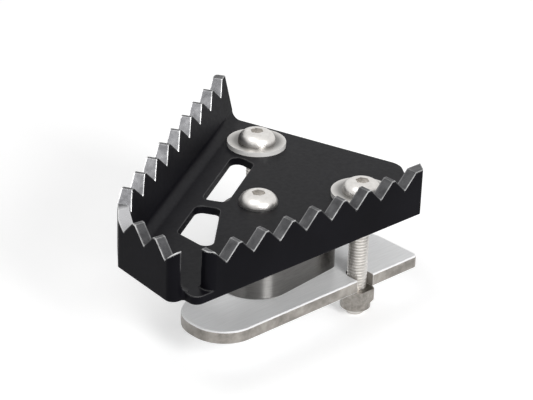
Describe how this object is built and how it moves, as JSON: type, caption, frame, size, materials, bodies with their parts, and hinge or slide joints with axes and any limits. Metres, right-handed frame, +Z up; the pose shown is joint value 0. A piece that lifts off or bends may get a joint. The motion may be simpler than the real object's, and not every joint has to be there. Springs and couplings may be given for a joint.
{
  "type": "brake pedal extension",
  "caption": "Clamp-on brake pedal extension: a flat tray with toothed walls for the boot, held to a motorbike's foot pad by a spacer block and a clamp plate under it.",
  "frame": {"origin": "on the tray's flat underside, midway between the two clamp screws, where the tray sits on the pedal's own foot pad", "axes": "+Z up; +X back towards the pedal's arm, square to the line through the clamp screws; +Y to the longer, slanted wall"},
  "size_m": [0.0879, 0.0715, 0.0435],
  "materials": {
    "black_anodised": "satin black anodised",
    "plate_stainless": "fine brushed",
    "spacer_metal": "machined bright",
    "fastener_stainless": "bright stainless",
    "nylon": "natural nylon"
  },
  "bodies": {
    "root": {"pedal_body": "black_anodised", "clamp_plate": "plate_stainless", "spacer_block": "spacer_metal", "clamp_screws": "fastener_stainless", "centre_screw": "fastener_stainless", "clamp_washers": "fastener_stainless", "clamp_nuts": "fastener_stainless", "nut_inserts": "nylon"}
  },
  "joints": []
}
